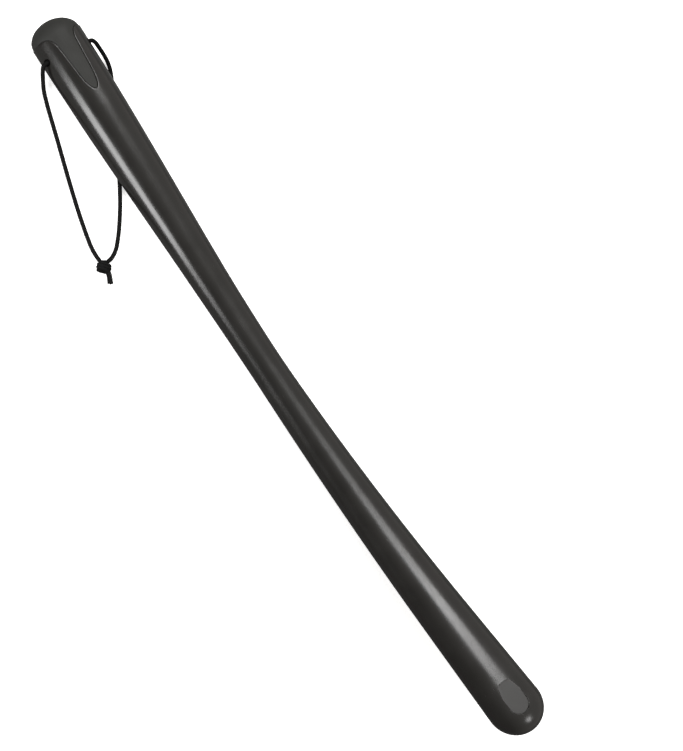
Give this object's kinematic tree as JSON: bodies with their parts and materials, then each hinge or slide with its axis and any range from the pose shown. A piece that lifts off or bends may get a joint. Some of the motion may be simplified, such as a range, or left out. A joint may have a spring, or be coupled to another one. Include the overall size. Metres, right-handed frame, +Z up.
{
  "type": "long shoehorn",
  "caption": "Long curved plastic shoehorn with a channel section, a soft cap and thumb rest on the handle, a scooped blade and a knotted hanging cord.",
  "frame": {"origin": "under the middle of the shoehorn's box, on the surface it lies on, measured without the cord", "axes": "+X from the head to the blade's tip, +Z up out of the rounded back, +Y to the left"},
  "size_m": [0.6, 0.0918, 0.0603],
  "materials": {
    "hard_plastic": "semi-gloss moulded dark grey plastic",
    "soft_grip": "matt soft-touch dark grey elastomer",
    "cord": "matt black braided cord"
  },
  "bodies": {
    "root": {"shoehorn_body": "hard_plastic", "grip_cap": "soft_grip", "hanging_cord": "cord", "cord_knot": "cord"}
  },
  "joints": []
}
